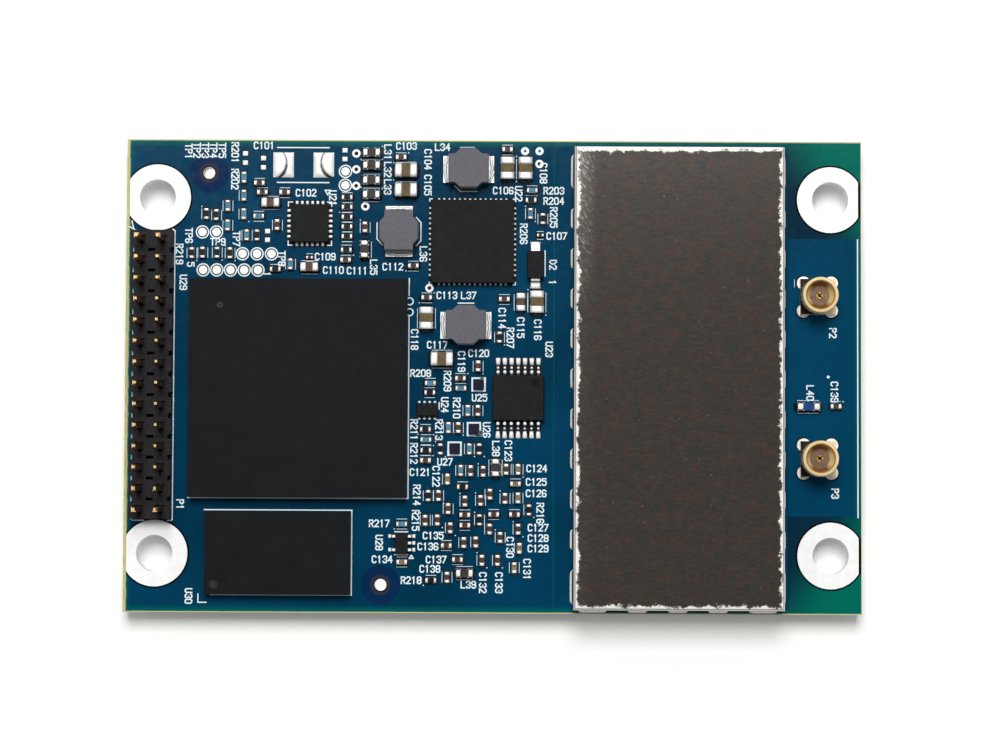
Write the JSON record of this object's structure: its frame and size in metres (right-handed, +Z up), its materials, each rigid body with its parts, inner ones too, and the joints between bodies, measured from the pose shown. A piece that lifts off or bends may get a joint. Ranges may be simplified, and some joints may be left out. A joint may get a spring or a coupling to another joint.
{
  "type": "gps module",
  "caption": "Satellite positioning receiver board with a soldered shield can, a pin header, coaxial antenna jacks, ball grid chips, power inductors and fields of small chip parts.",
  "frame": {"origin": "centre of the board in X and Y, at the tips of the soldered tails under it", "axes": "+X along the board from the pin header to the coaxial jacks, +Y across it, +Z up out of the face that carries the parts"},
  "size_m": [0.071, 0.0456, 0.0083],
  "materials": {
    "solder_mask": "glossy solder mask over glass fibre laminate",
    "tin_plating": "bright tin plating on copper",
    "solder": "reflowed solder",
    "gold_plating": "gold plating on brass",
    "header_plastic": "moulded, slightly rough",
    "insulator_plastic": "turned insulator, satin",
    "shield_tinplate": "dull tinned sheet with fine grain",
    "chip_mould": "matte mould compound",
    "chip_substrate": "laminate substrate",
    "lead_frame": "tinned ends and leads",
    "ferrite": "pressed ferrite, satin",
    "tan_ceramic": "fired ceramic, satin",
    "brown_ceramic": "fired ceramic, satin",
    "white_ceramic": "white ceramic",
    "black_coat": "black glass coat",
    "blue_coat": "blue glass coat",
    "blue_ceramic": "blue glazed ceramic"
  },
  "bodies": {
    "root": {"circuit_board": "solder_mask", "mount_rings": "tin_plating", "test_pads": "tin_plating", "solder_pads": "solder", "header_housing": "header_plastic", "header_pins": "gold_plating", "header_solder": "solder", "jack_shells": "gold_plating", "jack_insulators": "insulator_plastic", "jack_contacts": "gold_plating", "jack_solder": "solder", "shield_can": "shield_tinplate", "shield_solder": "solder", "processor_mould": "chip_mould", "processor_substrate": "chip_substrate", "processor_balls": "solder", "memory_mould": "chip_mould", "memory_substrate": "chip_substrate", "memory_balls": "solder", "power_chip_mould": "chip_mould", "power_chip_pads": "lead_frame", "interface_chip_mould": "chip_mould", "interface_chip_pads": "lead_frame", "driver_chip_mould": "chip_mould", "driver_chip_leads": "lead_frame", "regulator_mould": "chip_mould", "regulator_leads": "lead_frame", "buffer_chip_mould": "chip_mould", "buffer_chip_leads": "lead_frame", "switch_chips": "chip_mould", "inductor_cores": "ferrite", "inductor_terminals": "lead_frame", "diode_mould": "chip_mould", "diode_leads": "lead_frame", "large_capacitor_bodies": "tan_ceramic", "large_capacitor_ends": "lead_frame", "medium_capacitor_bodies": "brown_ceramic", "medium_capacitor_ends": "lead_frame", "small_capacitor_bodies": "brown_ceramic", "small_capacitor_ends": "lead_frame", "tan_capacitor_bodies": "tan_ceramic", "tan_capacitor_ends": "lead_frame", "resistor_bodies": "white_ceramic", "resistor_coats_black": "black_coat", "resistor_coats_blue": "blue_coat", "resistor_ends": "lead_frame", "bead_bodies": "ferrite", "bead_ends": "lead_frame", "feed_inductor_body": "blue_ceramic", "feed_inductor_ends": "blue_ceramic", "receiver_chip_mould": "chip_mould", "receiver_chip_substrate": "chip_substrate", "receiver_chip_balls": "solder", "tuner_chip_moulds": "chip_mould", "tuner_chip_pads": "lead_frame", "wave_filters": "white_ceramic", "oscillator_base": "brown_ceramic", "oscillator_lid": "tin_plating"}
  },
  "joints": []
}
